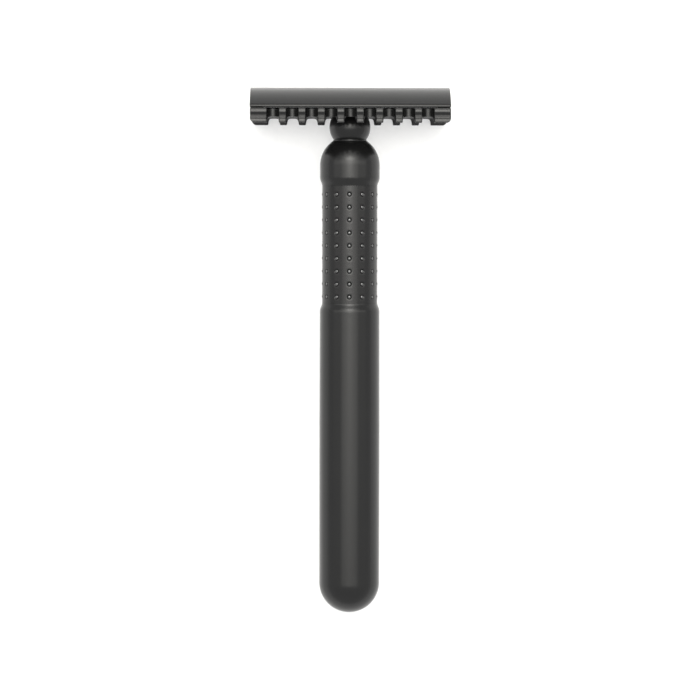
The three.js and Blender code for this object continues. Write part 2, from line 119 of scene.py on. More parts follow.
BARREL_TOP_RADIUS = 6.48
BARREL_ROUNDING_Z = 65.5
BARREL_TOP_Z = 67.5
ROD_BOTTOM_Z = 44.1

# The head's turning joint gives the handle's axis and the plate's seat on the neck, in metres.
turn = next(j for j in frame["record"]["behaviour"]["joints"] if j["name"] == "head_turn")
AXIS = Vector(turn["axis"]).normalized()
SEAT = Vector(turn["pos_m"])
DEPTH = Vector((1, 0, 0)).cross(AXIS) * -1.0


def to_world(x, y, z):
    """A point of the razor's own frame, in mm, as a world point in metres."""
    return SEAT + Vector((x * MM, 0, 0)) + DEPTH * (y * MM) + AXIS * ((z - PLATE_UNDERSIDE_Z) * MM)


def direction(x, y, z):
    """A direction of the razor's own frame as a world direction."""
    return Vector((x, 0, 0)) + DEPTH * y + AXIS * z


# ---------------------------------------------------------------- mesh helpers
def make_object(name, points, faces):
    """A smooth-shaded object from points in the razor's own frame."""
    mesh = bpy.data.meshes.new(name)
    mesh.from_pydata([to_world(*p) for p in points], [], faces)
    mesh.validate()
    bm = bmesh.new()
    bm.from_mesh(mesh)
    bmesh.ops.remove_doubles(bm, verts=bm.verts, dist=1e-7)
    bmesh.ops.recalc_face_normals(bm, faces=bm.faces)
    bm.to_mesh(mesh)
    bm.free()
    for polygon in mesh.polygons:
        polygon.use_smooth = True
    obj = bpy.data.objects.new(name, mesh)
    bpy.context.scene.collection.objects.link(obj)
    return obj


def sharpen(obj, angle_deg):
    """Keep shading breaks where faces meet at a real edge."""
    obj.data.set_sharp_from_angle(angle=math.radians(angle_deg))


def loft(name, rings):
    """Join rings that have the same number of points into one closed skin."""
    count = len(rings[0])
    points = [p for ring in rings for p in ring]
    faces = []
    for i in range(len(rings) - 1):
        for j in range(count):
            k = (j + 1) % count
            faces.append((i * count + j, i * count + k, (i + 1) * count + k, (i + 1) * count + j))
    faces.append(tuple(range(count - 1, -1, -1)))
    faces.append(tuple((len(rings) - 1) * count + j for j in range(count)))
    return make_object(name, points, faces)


def lathe(name, profile, segments=144, closed=False):
    """Turn [r, z] points about the handle's axis. Points on the axis become one point."""
    points = []
    rows = []
    for r, z in profile:
        if r < 1e-6:
            rows.append([len(points)] * segments)
            points.append((0, 0, z))
            continue
        rows.append(list(range(len(points), len(points) + segments)))
        for i in range(segments):
            angle = 2 * math.pi * i / segments
            points.append((r * math.cos(angle), r * math.sin(angle), z))
    pairs = list(zip(rows, rows[1:]))
    if closed:
        pairs.append((rows[-1], rows[0]))
    faces = []
    for low, high in pairs:
        for i in range(segments):
            k = (i + 1) % segments
            corners = [low[i], low[k], high[k], high[i]]
            unique = list(dict.fromkeys(corners))
            if len(unique) > 2:
                faces.append(tuple(unique))
    return make_object(name, points, faces)


def rounded(profile, steps):
    """Round every marked corner of a profile: a point is (r, z) or (r, z, radius)."""
    count = len(profile)
    out = []
    for i, item in enumerate(profile):
        here = Vector(item[:2])
        size = item[2] if len(item) > 2 else 0.0
        if size <= 0 or i in (0, count - 1):
            out.append((here.x, here.y))
            continue
        before = Vector(profile[i - 1][:2])
        after = Vector(profile[i + 1][:2])
        size = min(size, (before - here).length * 0.45, (after - here).length * 0.45)
        start = here + (before - here).normalized() * size
        end = here + (after - here).normalized() * size
        for s in range(steps + 1):
            t = s / steps
            p = start * (1 - t) ** 2 + here * 2 * t * (1 - t) + end * t ** 2
            out.append((p.x, p.y))
    return out


def arc_height(centre_z, radius, y):
    """Height at y of an upward arc about (0, centre_z)."""
    return centre_z + math.sqrt(radius * radius - y * y)


def arc_points(centre_z, radius, y_start, y_end, steps):
    """Points of an upward arc about (0, centre_z), evenly spaced across."""
    points = []
    for i in range(steps + 1):
        y = y_start + (y_end - y_start) * i / steps
        points.append((y, arc_height(centre_z, radius, y)))
    return points


def round_points(z0, radius, start_deg, end_deg, steps):
    """Points of a circle about (0, z0), from one angle to another."""
    points = []
    for i in range(steps + 1):
        angle = math.radians(start_deg + (end_deg - start_deg) * i / steps)
        points.append((radius * math.cos(angle), z0 + radius * math.sin(angle)))
    return points


def soft_step(radius, full_z, slim_z, steps):
    """The wide rounding where a full-width part drops to the slim grip, as [r, z] points."""
    points = []
    for i in range(1, steps + 1):
        t = (i / steps) ** 1.25
        blend = t * t * (3 - 2 * t)
        points.append((radius - (radius - STEP_RADIUS) * blend, full_z + (slim_z - full_z) * i / steps))
    return points


def smoothstep(low, high, x):
    """0 below low, 1 above high, and a smooth rise between them."""
    t = min(max((x - low) / (high - low), 0.0), 1.0)
    return t * t * (3 - 2 * t)


def circle(x, radius, count):
    """Evenly spaced (x, y) points of a circle about (x, 0)."""
    turns = [2 * math.pi * i / count for i in range(count)]
    return [(x + radius * math.cos(a), radius * math.sin(a)) for a in turns]


def prism(outline, z_low, z_high):
    """A straight cutter with an (x, y) outline."""
    return loft("cutter", [[(x, y, z) for x, y in outline] for z in (z_low, z_high)])


def cut_away(obj, cutter):
    """Take the cutter out of the object's own mesh and remove the cutter."""
    modifier = obj.modifiers.new("cut", "BOOLEAN")
    modifier.object = cutter
    modifier.operation = "DIFFERENCE"
    modifier.solver = "EXACT"
    depsgraph = bpy.context.evaluated_depsgraph_get()
    mesh = bpy.data.meshes.new_from_object(obj.evaluated_get(depsgraph))
    obj.modifiers.clear()
    obj.data = mesh
    bpy.data.objects.remove(cutter)


# ---------------------------------------------------------------- materials
NOISE_LOW = 0.3
NOISE_HIGH = 0.7


def node_material(name):
    """A new material with its node tree and its Principled shader."""
    material = bpy.data.materials.new(name)
    material.use_nodes = True
    tree = material.node_tree
    shader = tree.nodes["Principled BSDF"]
    return material, tree, shader


def object_coords(tree, scale=(1, 1, 1)):
    """Object coordinates in metres, stretched by the scale."""
    coords = tree.nodes.new("ShaderNodeTexCoord")
    mapping = tree.nodes.new("ShaderNodeMapping")
    mapping.inputs["Scale"].default_value = scale
    tree.links.new(coords.outputs["Object"], mapping.inputs["Vector"])
    return mapping.outputs["Vector"]


def noise(tree, vector, scale, detail):
    """Noise about 0.5, with scale in cycles per metre of the vector."""
    node = tree.nodes.new("ShaderNodeTexNoise")
    node.inputs["Scale"].default_value = scale
    node.inputs["Detail"].default_value = detail
    node.inputs["Roughness"].default_value = 0.55
    tree.links.new(vector, node.inputs["Vector"])
    return node.outputs["Fac"]


def remap(tree, value, low, high):
    """The value's main range mapped to a number from low to high."""
    node = tree.nodes.new("ShaderNodeMapRange")
    node.inputs["From Min"].default_value = NOISE_LOW
    node.inputs["From Max"].default_value = NOISE_HIGH
    node.inputs["To Min"].default_value = low
    node.inputs["To Max"].default_value = high
    tree.links.new(value, node.inputs["Value"])
    return node.outputs["Result"]


def ramp(tree, value, low, high):
    """The value's main range mapped to a colour from low to high."""
    node = tree.nodes.new("ShaderNodeValToRGB")
    elements = node.color_ramp.elements
    elements[0].position, elements[0].color = NOISE_LOW, (*low, 1)
    elements[1].position, elements[1].color = NOISE_HIGH, (*high, 1)
    tree.links.new(value, node.inputs["Fac"])
    return node.outputs["Color"]


def bump(tree, height, distance, strength):
    """A bumped normal, with distance in metres."""
    node = tree.nodes.new("ShaderNodeBump")
    node.inputs["Distance"].default_value = distance
    node.inputs["Strength"].default_value = strength
    tree.links.new(height, node.inputs["Height"])
    return node.outputs["Normal"]


def black_coating(name, base=(0.005, 0.005, 0.005), rough=(0.23, 0.27), gloss=0.38, ior=1.5):
    """Fine bead-blasted steel under a thin matte black coating."""
    material, tree, shader = node_material(name)
    vector = object_coords(tree)
    cloud = noise(tree, vector, 90, 3)
    grain = noise(tree, vector, 14000, 2)
    dark = tuple(c * 0.86 for c in base)
    light = tuple(c * 1.18 for c in base)
    tree.links.new(ramp(tree, cloud, dark, light), shader.inputs["Base Color"])
    tree.links.new(remap(tree, grain, *rough), shader.inputs["Roughness"])
    tree.links.new(bump(tree, grain, 0.000002, 0.3), shader.inputs["Normal"])
    shader.inputs["Metallic"].default_value = 0.0
    shader.inputs["Specular IOR Level"].default_value = gloss
    shader.inputs["IOR"].default_value = ior
    return material


def blade_steel():
    """Satin brushed strip steel, the same all over; the ground bevels come from the blade's shape."""
    material, tree, shader = node_material("blade_steel")
    vector = object_coords(tree)
    brushed = object_coords(tree, (60, 2600, 2600))
    streak = noise(tree, brushed, 1.0, 3)
    grain = noise(tree, vector, 3000, 2)
    tone = ramp(tree, streak, (0.50, 0.51, 0.52), (0.66, 0.67, 0.68))
    tree.links.new(tone, shader.inputs["Base Color"])
    tree.links.new(remap(tree, grain, 0.22, 0.34), shader.inputs["Roughness"])
    tree.links.new(bump(tree, streak, 0.000004, 0.3), shader.inputs["Normal"])
    shader.inputs["Metallic"].default_value = 1.0
    return material


def machined_metal(name, low, high, rough):
    """Turned bar stock: fine rings round the axis of the handle."""
    material, tree, shader = node_material(name)
    vector = object_coords(tree, (200, 9000, 200))
    rings = noise(tree, vector, 1.0, 2)
    tree.links.new(ramp(tree, rings, low, high), shader.inputs["Base Color"])
    tree.links.new(remap(tree, rings, *rough), shader.inputs["Roughness"])
    tree.links.new(bump(tree, rings, 0.000005, 0.4), shader.inputs["Normal"])
    shader.inputs["Metallic"].default_value = 1.0
    return material


BLACK = black_coating("black_coating")
RUBBED = black_coating("rubbed_coating", gloss=0.9, ior=1.75)
DULL = black_coating("dull_coating", base=(0.012, 0.012, 0.012), rough=(0.5, 0.6), gloss=0.23)
STEEL = blade_steel()
ROD = machined_metal("rod_steel", (0.42, 0.42, 0.43), (0.56, 0.56, 0.57), (0.25, 0.38))
BRASS = machined_metal("insert_brass", (0.60, 0.44, 0.20), (0.74, 0.56, 0.28), (0.25, 0.38))


def finish_piece(obj, material, body, node):
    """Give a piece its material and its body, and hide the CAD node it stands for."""
    obj.data.materials.clear()
    obj.data.materials.append(material)
    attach(obj, body)
    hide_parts(node)
    return obj


# ---------------------------------------------------------------- head
def section_normals(outline):
    """Inward normals of a closed [y, z] outline that runs clockwise seen from +X."""
    count = len(outline)
    normals = []
    for i in range(count):
        before = Vector(outline[i - 1])
        after = Vector(outline[(i + 1) % count])
        along = (after - before).normalized()
        normals.append(Vector((along.y, -along.x)))
    return normals


def inset(outline, amount):
    """The outline moved inward by an even amount."""
    normals = section_normals(outline)
    return [(p[0] + n.x * amount, p[1] + n.y * amount) for p, n in zip(outline, normals)]


def eased_edge(steps):
    """(travel, drop) pairs of a unit quarter round, from the flat face to full section."""
    pairs = []
    for i in range(steps + 1):
        t = i / steps
        pairs.append((t, 1 - math.sqrt(1 - (1 - t) ** 2)))
    return pairs


def make_cap():
    """The arched cap: one section with thin lips, swept along the head with eased ends."""
    underside = BLADE_RADIUS + BLADE_THICKNESS / 2 + CLAMP_GAP
    lip_y = CAP_HALF_WIDTH - CAP_LIP_INSET
    rise = RIDGE_Z - CAP_LIP_TOP_Z
    radius = (lip_y ** 2 + rise ** 2) / (2 * rise)
    lip_bottom = arc_height(BLADE_CENTRE_Z, underside, lip_y)
    lip = [(CAP_HALF_WIDTH - 0.02, CAP_LIP_TOP_Z - 0.07), (CAP_HALF_WIDTH, CAP_LIP_TOP_Z - 0.16),
           (CAP_HALF_WIDTH, lip_bottom + 0.09), (CAP_HALF_WIDTH - 0.02, lip_bottom + 0.03)]
    outline = arc_points(RIDGE_Z - radius, radius, -lip_y, lip_y, 60)
    outline += lip
    outline += arc_points(BLADE_CENTRE_Z, underside, lip_y, -lip_y, 48)
    outline += [(-y, z) for y, z in reversed(lip)]
    rounding = 0.15
    half_length = CAP_LENGTH / 2
    left = [(-half_length + rounding * t, rounding * drop) for t, drop in eased_edge(4)]
    slices = left + [(-x, d) for x, d in reversed(left)]
    rings = []
    for x, d in slices:
        section = inset(outline, d) if d > 0 else outline
        rings.append([(x, y, z) for y, z in section])
    cap = loft("cap_shell", rings)
    sharpen(cap, 40)
    return cap


def bead(centre_z, start_deg, end_deg):
    """One rounded rib of the comb's outer face."""
    points = round_points(centre_z, BEAD_RADIUS, start_deg, end_deg, 10)
    return [(COMB_HALF_WIDTH - BEAD_RADIUS + y, z) for y, z in points]


def comb_half_section():
    """Half of the comb's section, from the crown out to the tooth tip and back underneath."""
    bed = BLADE_RADIUS - BLADE_THICKNESS / 2 - CLAMP_GAP
    channel = [
        (9.1, arc_height(BLADE_CENTRE_Z, bed, 9.1)),
        (BED_HALF_WIDTH, arc_height(BLADE_CENTRE_Z, bed, BED_HALF_WIDTH), 0.12),
        (9.62, 109.66, 0.2),
        (10.1, 109.32, 0.2),
        (10.7, 109.27, 0.25),
        (11.2, 109.54, 0.2),
        (11.9, 109.59, 0.1),
        (12.06, 109.56),
    ]
    recess = [
        (12.29, 108.63),
        (12.27, 108.59, 0.05),
        (12.1, 108.17, 0.12),
        (12.08, 107.54, 0.05),
        (12.1, 107.46),
    ]
    under = [
        (12.27, 106.46),
        (12.16, COMB_BOTTOM_Z, 0.12),
        (11.3, COMB_BOTTOM_Z, 0.2),
        (10.3, 107.74, 0.35),
        (PLATE_FLAT_HALF_WIDTH, PLATE_UNDERSIDE_Z, 0.5),
        (0.0, PLATE_UNDERSIDE_Z),
    ]
    outer = rounded(channel, 5)[:-1] + bead(UPPER_BEAD_Z, 31, -5.5)
    outer += rounded(recess, 4)[1:-1] + bead(LOWER_BEAD_Z, 30, -10)
    outer += rounded(under, 5)[1:]
    return arc_points(BLADE_CENTRE_Z, bed, 0, 9.0, 22) + outer


def press_back(outline, depth):
    """Press the run of points where depth(point) > 0 onto the chord that closes the cut."""
    beyond = [i for i, point in enumerate(outline) if depth(point) > 0]
    if not beyond:
        return list(outline)
    first, last = beyond[0], beyond[-1]

    def crossing(a, b):
        da, db = depth(a), depth(b)
        return Vector(a).lerp(Vector(b), da / (da - db))

    start = crossing(outline[first - 1], outline[first])
    end = crossing(outline[last + 1], outline[last])
    lengths = [0.0]
    for i in range(first, last):
        lengths.append(lengths[-1] + (Vector(outline[i + 1]) - Vector(outline[i])).length)
    out = list(outline)
    for i in range(first, last + 1):
        point = start.lerp(end, lengths[i - first] / max(lengths[-1], 1e-9))
        out[i] = (point.x, point.y)
    return out


def comb_slices():
    """(x, y_cut, side_inset, end_inset) slices from one end of the plate to the other."""
    rounding = 0.2
    end_rounding = 0.15
    half_length = HEAD_LENGTH / 2
    eased = eased_edge(5)
    end_block = [(half_length - end_rounding * t, None, 0.0, end_rounding * drop) for t, drop in eased]
    for i in range(1, 12):
        angle = math.radians(84 * (1 - i / 12))
        x = half_length - PLATE_CORNER_RADIUS + PLATE_CORNER_RADIUS * math.sin(angle)
        if x < end_block[-1][0] - 0.01:
            end_block.append((x, None, 0.0, 0.0))
    end_block.append((half_length - PLATE_CORNER_RADIUS, None, 0.0, 0.0))
    slices = [(-x, cut, side, end) for x, cut, side, end in end_block]
    for i in range(GROOVE_COUNT):
        centre = (i - (GROOVE_COUNT - 1) / 2) * GROOVE_PITCH
        for t, drop in reversed(eased):
            slices.append((centre - GROOVE_RADIUS - rounding * t, None, rounding * drop, 0.0))
        for k in range(13):
            angle = math.pi * k / 12
            y_cut = GROOVE_CENTRE_Y - GROOVE_RADIUS * math.sin(angle)
            slices.append((centre - GROOVE_RADIUS * math.cos(angle), y_cut, 0.0, 0.0))
        for t, drop in eased:
            slices.append((centre + GROOVE_RADIUS + rounding * t, None, rounding * drop, 0.0))
    return slices + list(reversed(end_block))


def corner_height(x):
    """Lowest height of the plate at x: its two lower corners are well rounded."""
    run = abs(x) - (HEAD_LENGTH / 2 - PLATE_CORNER_RADIUS)
    if run <= 0:
        return None
    return COMB_BOTTOM_Z + PLATE_CORNER_RADIUS - math.sqrt(max(PLATE_CORNER_RADIUS ** 2 - run ** 2, 0.0))


def make_base_plate():
    """The open comb plate: one section cut back slice by slice at every groove and lower corner."""
    half = comb_half_section()
    full = half + [(-y, z) for y, z in reversed(half[1:-1])]
    normals = section_normals(full)
    rings = []
    for x, y_cut, side_inset, end_inset in comb_slices():
        section = []
        for (y, z), n in zip(full[:len(half)], normals):
            # The side edges of the teeth are eased more towards their lower tips.
            low = 0.7 + 0.7 * smoothstep(-108.0, -107.2, -z)
            amount = end_inset + side_inset * low * smoothstep(9.9, 11.1, abs(y))
            section.append((y + n.x * amount, z + n.y * amount))
        if y_cut is not None:
            section = press_back(section, lambda point: point[0] - y_cut)
        lowest = corner_height(x)
        if lowest is not None:
            section = press_back(section, lambda point: lowest - point[1])
        section += [(-y, z) for y, z in reversed(section[1:-1])]
        rings.append([(x, y, z) for y, z in section])
    plate = loft("comb_plate", rings)
    bore_holes(plate)
    sharpen(plate, 38)
    return plate


def dull_underside(plate):
    """The flat under the plate, which the blasting nozzle meets squarely, is the dullest face."""
    plate.data.materials.append(DULL)
    down = direction(0, 0, -1)
    for polygon in plate.data.polygons:
        if polygon.normal.dot(down) > 0.9:
            polygon.material_index = 1


def bore_holes(plate):
    """Cut the stud's and both pins' holes through the plate."""
    holes = [(0.0, THREAD_MAJOR + 0.3)] + [(side * PIN_OFFSET, PIN_RADIUS + 0.15) for side in (-1, 1)]
    for x, radius in holes:
        cut_away(plate, prism(circle(x, radius, 64), PLATE_UNDERSIDE_Z - 1, BLADE_CROWN_Z + 1))


def make_blade():
    """The clamped blade: an arched strip with its slot, holes and corner notches cut out."""
    half = BLADE_THICKNESS / 2
    count = 44
    limit = BLADE_HALF_ARC / BLADE_RADIUS
    angles = [-limit + 2 * limit * i / count for i in range(count + 1)]

    def thickness(angle):
        from_edge = (limit - abs(angle)) * BLADE_RADIUS
        return half * min(1.0, 0.06 + 0.94 * from_edge / BLADE_BEVEL)

    def skin_point(angle, side):
        radius = BLADE_RADIUS + side * thickness(angle)
        return radius * math.sin(angle), BLADE_CENTRE_Z + radius * math.cos(angle)

    outline = [skin_point(a, 1) for a in angles] + [skin_point(a, -1) for a in reversed(angles)]
    rings = [[(x, y, z) for y, z in outline] for x in (-BLADE_LENGTH / 2, BLADE_LENGTH / 2)]
    blade = loft("blade_strip", rings)
    for outline in blade_cutouts():
        cut_away(blade, prism(outline, BLADE_CENTRE_Z, BLADE_CROWN_Z + 5))
    sharpen(blade, 30)
    return blade


def blade_cutouts():
    """Outlines of the blade's long slot, its three holes and its four corner notches."""
    slot = []
    for i in range(17):
        angle = -math.pi / 2 + math.pi * i / 16
        x = BLADE_SLOT_HALF_LENGTH + BLADE_SLOT_HALF_WIDTH * math.cos(angle)
        slot.append((x, BLADE_SLOT_HALF_WIDTH * math.sin(angle)))
    cutouts = [slot + [(-x, -y) for x, y in slot]]
    for x, radius in ((0.0, BLADE_CENTRE_HOLE), (-PIN_OFFSET, BLADE_PIN_HOLE), (PIN_OFFSET, BLADE_PIN_HOLE)):
        cutouts.append(circle(x, radius, 48))
    for side in (-1, 1):
        for edge in (-1, 1):
            x0, x1 = side * BLADE_EDGE_LENGTH / 2, side * (BLADE_LENGTH / 2 + 1)
            y0, y1 = edge * BLADE_TAB_HALF_WIDTH, edge * (BLADE_HALF_ARC + 1)
            cutouts.append([(x0, y0), (x1, y0), (x1, y1), (x0, y1)])
    return cutouts


# ---------------------------------------------------------------- stud and pins
def make_stud():
    """Threaded stud: one continuous helical skin that fades out into a chamfered tip and a shank."""
    segments = 40
    root_flat = 0.2
    crest_flat = 0.092
    crest_start = root_flat + (THREAD_PITCH - root_flat - crest_flat) / 2
    levels = [(0.0, 0.0), (root_flat, 0.0), (crest_start, 1.0),
              (crest_start + crest_flat, 1.0), (THREAD_PITCH, 0.0)]
    start = math.floor(STUD_TIP_Z / THREAD_PITCH) * THREAD_PITCH

    def height(z, angle):
        phase = (z - start - THREAD_PITCH * angle / (2 * math.pi)) % THREAD_PITCH
        for (a, ha), (b, hb) in zip(levels, levels[1:]):
            if a <= phase <= b:
                return ha + (hb - ha) * (phase - a) / (b - a)
        return 0.0

    rings_per_turn = 24
    low, high = STUD_TIP_Z + 0.02, STUD_THREAD_TOP_Z
    steps = int((high - low) / THREAD_PITCH * rings_per_turn)
    rings = []
    for i in range(steps + 1):
        z = low + (high - low) * i / steps
        ring = []
        for k in range(segments):
            angle = 2 * math.pi * k / segments
            r = THREAD_MINOR + (THREAD_MAJOR - THREAD_MINOR) * height(z, angle)
            r = min(r, THREAD_MINOR - 0.1 + (z - STUD_TIP_Z))
            if z > high - 0.5:
                r = max(r, THREAD_MINOR + (THREAD_MAJOR - THREAD_MINOR) * (z - high + 0.5) / 0.5)
            ring.append((r * math.cos(angle), r * math.sin(angle), z))
        rings.append(ring)
    for z in (high + 0.2, CAP_SOCKET_Z - 0.1):
        rings.append([(THREAD_MAJOR * math.cos(2 * math.pi * k / segments),
                       THREAD_MAJOR * math.sin(2 * math.pi * k / segments), z) for k in range(segments)])
    stud = loft("stud_thread", rings)
    sharpen(stud, 32)
    return stud


def make_pin(side):
    """A locating pin with a rounded, chamfered tip."""
    root_z = CAP_SOCKET_Z - 0.06
    profile = rounded([(0, PIN_TIP_Z), (PIN_RADIUS - 0.4, PIN_TIP_Z, 0.3),
                       (PIN_RADIUS, PIN_TIP_Z + 0.55, 0.4), (PIN_RADIUS, root_z), (0, root_z)], 5)
    name = "pin_left" if side < 0 else "pin_right"
    pin = lathe(name, profile, 64)
    shift = Vector((side * PIN_OFFSET * MM, 0, 0))
    for vertex in pin.data.vertices:
        vertex.co += shift
    sharpen(pin, 40)
    return pin


# ---------------------------------------------------------------- handle
def make_neck():
    """The ball collar and the spigot that seats in the shoulder."""
    low = math.degrees(math.asin((NECK_BOTTOM_Z - NECK_CENTRE_Z) / NECK_RADIUS))
    high = math.degrees(math.asin((NECK_TOP_Z - NECK_CENTRE_Z) / NECK_RADIUS))
    ball = round_points(NECK_CENTRE_Z, NECK_RADIUS, low, high - 1.2, 40)
    profile = [(HANDLE_BORE, SPIGOT_BOTTOM_Z), (SPIGOT_RADIUS, SPIGOT_BOTTOM_Z)]
    profile += [(SPIGOT_RADIUS, NECK_BOTTOM_Z)] + ball
    profile += [(ball[-1][0] - 0.05, NECK_TOP_Z), (HANDLE_BORE, NECK_TOP_Z)]
    neck = lathe("neck_ball", profile, closed=True)
    sharpen(neck, 32)
    return neck


def make_shoulder():
    """The large ball over the grip, with a thin lip round the collar."""
    rise = math.sqrt(SHOULDER_RADIUS ** 2 - SHOULDER_LIP_RADIUS ** 2)
    top = math.degrees(math.atan2(rise, SHOULDER_LIP_RADIUS))
    seat = SPIGOT_RADIUS + 0.05
    step = soft_step(SHOULDER_RADIUS, SHOULDER_STRAIGHT_Z, SHOULDER_BOTTOM_Z, 24)
    profile = [(HANDLE_BORE, SHOULDER_BOTTOM_Z)] + list(reversed(step))
    profile += [(SHOULDER_RADIUS, SHOULDER_STRAIGHT_Z)]
    profile += round_points(SHOULDER_CENTRE_Z, SHOULDER_RADIUS, 0, top, 48)
    profile += [(SHOULDER_LIP_RADIUS, SHOULDER_LIP_Z - 0.1),
                (SHOULDER_LIP_RADIUS - 0.03, SHOULDER_LIP_Z - 0.03),
                (SHOULDER_LIP_RADIUS - 0.1, SHOULDER_LIP_Z), (seat, SHOULDER_LIP_Z),
                (seat, SPIGOT_BOTTOM_Z - 0.05), (HANDLE_BORE, SPIGOT_BOTTOM_Z - 0.05)]
    shoulder = lathe("shoulder_ball", profile, closed=True)
    sharpen(shoulder, 32)
    return shoulder


def dot_cell(column_angle, z_centre, z_low, z_high):
    """One dot in its ring groove, and the field round it, which opens out to the cell's straight sides."""
    rise = DOT_HEIGHT + DOT_GROOVE_DEPTH
    sphere = (DOT_RADIUS ** 2 + rise ** 2) / (2 * rise)
    half_angle = math.pi / DOT_COLUMNS
    per_side = 8
    around = 4 * per_side
    rings = []
    for share in (0.17, 0.34, 0.5, 0.65, 0.78, 0.9, 1.0):
        radius = DOT_RADIUS * share
        rings.append((radius, DOT_HEIGHT - sphere + math.sqrt(sphere ** 2 - radius ** 2)))
    width = DOT_GROOVE_RADIUS - DOT_RADIUS
    rings += [(DOT_RADIUS + width * t, -DOT_GROOVE_DEPTH * (1 - t)) for t in (0.5, 0.9)]
    rings += [(DOT_GROOVE_RADIUS, -0.004), (DOT_GROOVE_RADIUS + 0.02, 0.0)]
    spread = (0.3, 0.62, 1.0)
    turns = [2 * math.pi * k / around + math.pi / 4 for k in range(around)]
    points = [(0.0, z_centre, DOT_HEIGHT)]
    for radius, height in rings:
        for angle in turns:
            z = z_centre + radius * math.sin(angle)
            points.append((radius * math.cos(angle) / GRIP_RADIUS, z, height))
    foot_radius = rings[-1][0]
    for share in spread:
        for k in range(around):
            side, step = divmod(k, per_side)
            along = 1 - 2 * step / per_side
            u, v = ((along, 1), (-1, along), (-along, -1), (1, -along))[side]
            edge_angle = u * half_angle
            edge_z = z_centre + v * ((z_high - z_centre) if v > 0 else (z_centre - z_low))
            foot_angle = foot_radius * math.cos(turns[k]) / GRIP_RADIUS
            foot_z = z_centre + foot_radius * math.sin(turns[k])
            out_angle = foot_angle + (edge_angle - foot_angle) * share
            points.append((out_angle, foot_z + (edge_z - foot_z) * share, 0.0))
    placed = []
    for angle, z, height in points:
        r = GRIP_RADIUS + height
        placed.append((r * math.cos(column_angle + angle), r * math.sin(column_angle + angle), z))
    faces = []
    for k in range(around):
        faces.append((0, 1 + k, 1 + (k + 1) % around))
    for i in range(len(rings) + len(spread) - 1):
        low = 1 + i * around
        for k in range(around):
            n = (k + 1) % around
            faces.append((low + k, low + around + k, low + around + n, low + n))
    return placed, faces


def make_grip():
    """One skin: every dot is a small dome in a ring groove with its own grid of faces."""
    points = []
    faces = []
    rows = [DOT_TOP_ROW_Z - row * DOT_ROW_PITCH for row in range(DOT_ROWS)]
    edges = [rows[0] + DOT_ROW_PITCH / 2]
    edges += [z - DOT_ROW_PITCH / 2 for z in rows[:-1]] + [GRIP_BOTTOM_Z]
    pitch = 2 * math.pi / DOT_COLUMNS
    first = -math.pi / 2 + DOT_PHASE
    for row, z in enumerate(rows):
        for column in range(DOT_COLUMNS):
            cell, cell_faces = dot_cell(first + pitch * column, z, edges[row + 1], edges[row])
            faces += [tuple(i + len(points) for i in face) for face in cell_faces]
            points += cell
    count = 8 * DOT_COLUMNS
    angles = [first - pitch / 2 + pitch * i / 8 for i in range(count)]
    top = [(GRIP_RADIUS, edges[0]), (GRIP_RADIUS, GRIP_TOP_Z), (HANDLE_BORE, GRIP_TOP_Z),
           (HANDLE_BORE, GRIP_BOTTOM_Z), (GRIP_RADIUS, GRIP_BOTTOM_Z)]
    base = len(points)
    for r, z in top:
        points += [(r * math.cos(a), r * math.sin(a), z) for a in angles]
    for i in range(len(top) - 1):
        for k in range(count):
            n = (k + 1) % count
            low = base + i * count
            faces.append((low + k, low + n, low + count + n, low + count + k))
    grip = make_object("grip_dots", points, faces)
    sharpen(grip, 30)
    return grip


def rub_dots(grip):
    """The crowns of the dots, which fingers keep polished, shine more than the field round them."""
    grip.data.materials.append(RUBBED)
    for polygon in grip.data.polygons:
        offset = polygon.center - SEAT
        radius = (offset - AXIS * offset.dot(AXIS)).length / MM
        if radius > GRIP_RADIUS + 0.1 * DOT_HEIGHT:
            polygon.material_index = 1


def make_barrel():
    """The plain lower handle: a domed end, a slight taper and a soft step at the top."""
    profile = round_points(DOME_CENTRE_Z, DOME_RADIUS, -90, 0, 48)
    profile += [(DOME_RADIUS - 0.001, DOME_CENTRE_Z + 0.4), (BARREL_MIDDLE_RADIUS, 40),
                (BARREL_TOP_RADIUS, BARREL_ROUNDING_Z - 0.3), (BARREL_TOP_RADIUS, BARREL_ROUNDING_Z)]
    profile += soft_step(BARREL_TOP_RADIUS, BARREL_ROUNDING_Z, BARREL_TOP_Z, 24)
    profile += [(HANDLE_BORE, BARREL_TOP_Z), (HANDLE_BORE, ROD_BOTTOM_Z - 0.15), (0, ROD_BOTTOM_Z - 0.15)]
    barrel = lathe("barrel_shell", profile)
    sharpen(barrel, 32)
    return barrel


finish_piece(make_cap(), BLACK, "cap", "top_cap")
finish_piece(make_stud(), BLACK, "cap", "threaded_stud")
finish_piece(make_pin(-1), BLACK, "cap", "locating_pin_left")
finish_piece(make_pin(1), BLACK, "cap", "locating_pin_right")
finish_piece(make_blade(), STEEL, "blade", "razor_blade")
dull_underside(finish_piece(make_base_plate(), BLACK, "plate", "base_plate"))
finish_piece(make_neck(), BLACK, "handle", "neck_collar")
finish_piece(make_shoulder(), BLACK, "handle", "shoulder")
rub_dots(finish_piece(make_grip(), BLACK, "handle", "grip_sleeve"))
finish_piece(make_barrel(), BLACK, "handle", "barrel")

for node, material in (("thread_insert", BRASS), ("core_rod", ROD)):
    obj = bpy.data.objects[node]
    obj.data.materials.clear()
    obj.data.materials.append(material)

# ---------------------------------------------------------------- floor
FLOOR_HALF_SIZE = 1.6
FLOOR_GLOW = 0.46


